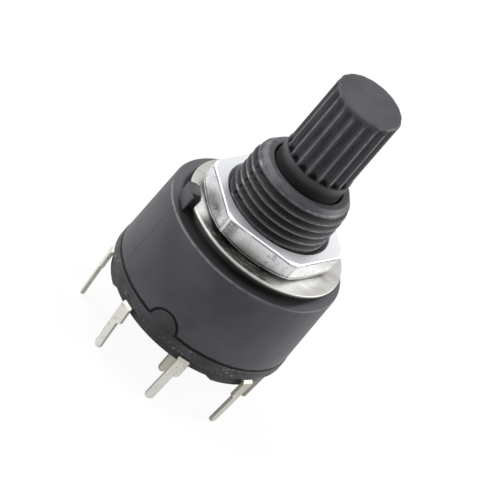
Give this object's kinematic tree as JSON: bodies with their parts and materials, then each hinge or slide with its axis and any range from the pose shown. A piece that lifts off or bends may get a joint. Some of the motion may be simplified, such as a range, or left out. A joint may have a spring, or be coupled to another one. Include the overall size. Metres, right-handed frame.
{
  "type": "rotary switch",
  "caption": "Panel-mount rotary switch with a splined shaft in a threaded bushing, hex nut, keyed washer and pins for a circuit board.",
  "frame": {"origin": "on the shaft's axis, in the plane of the seat that meets the panel", "axes": "+Z along the shaft, away from the body; +X and +Y lie in the panel's plane, and the terminals stand at each 45 degrees from +X"},
  "size_m": [0.0164, 0.0164, 0.0292],
  "materials": {
    "moulded_body": "fine matt black moulding, slightly glossy edges",
    "moulded_shaft": "matt black moulding with smooth serrations",
    "nut": "bright zinc plate",
    "washer": "satin nickel plate, punched edge",
    "base": "matt black moulding",
    "terminals": "bright tin plate over brass strip",
    "carrier": "dark moulding, matt",
    "spring_contact": "bright phosphor bronze strip",
    "balls": "polished steel",
    "springs": "drawn spring wire"
  },
  "bodies": {
    "case": {"housing": "moulded_body", "base_plate": "base", "terminal_1": "terminals", "terminal_2": "terminals", "terminal_3": "terminals", "terminal_4": "terminals", "terminal_5": "terminals", "terminal_6": "terminals", "terminal_7": "terminals", "terminal_8": "terminals", "common_terminal": "terminals"},
    "rotor": {"shaft": "moulded_shaft", "contact_carrier": "carrier", "wiper": "spring_contact", "detent_spring_1": "springs", "detent_spring_2": "springs"},
    "ball_1": {"detent_ball_1": "balls"},
    "ball_2": {"detent_ball_2": "balls"},
    "washer": {"keyed_washer": "washer"},
    "nut": {"hex_nut": "nut"}
  },
  "joints": [
    {"name": "shaft_turn", "type": "hinge", "parent": "case", "child": "rotor", "pos_m": [0, 0, 0], "axis": [0, 0, 1], "range_deg": [0, 315]},
    {"name": "ball_1_click", "type": "slide", "parent": "rotor", "child": "ball_1", "axis": [0.7071, 0.7071, 0], "range_m": [0, 0.00044]},
    {"name": "ball_2_click", "type": "slide", "parent": "rotor", "child": "ball_2", "axis": [-0.7071, -0.7071, 0], "range_m": [0, 0.00044]},
    {"name": "washer_lift", "type": "slide", "parent": "case", "child": "washer", "axis": [0, 0, 1], "range_m": [0, 0.003]},
    {"name": "nut_turn", "type": "hinge", "parent": "washer", "child": "nut", "pos_m": [0, 0, 0], "axis": [0, 0, 1], "range_deg": [0, 1440.01]}
  ],
  "couplings": [
    {"joint": "nut_turn", "follows": "washer_lift", "rad_per_m": 8377.6}
  ]
}
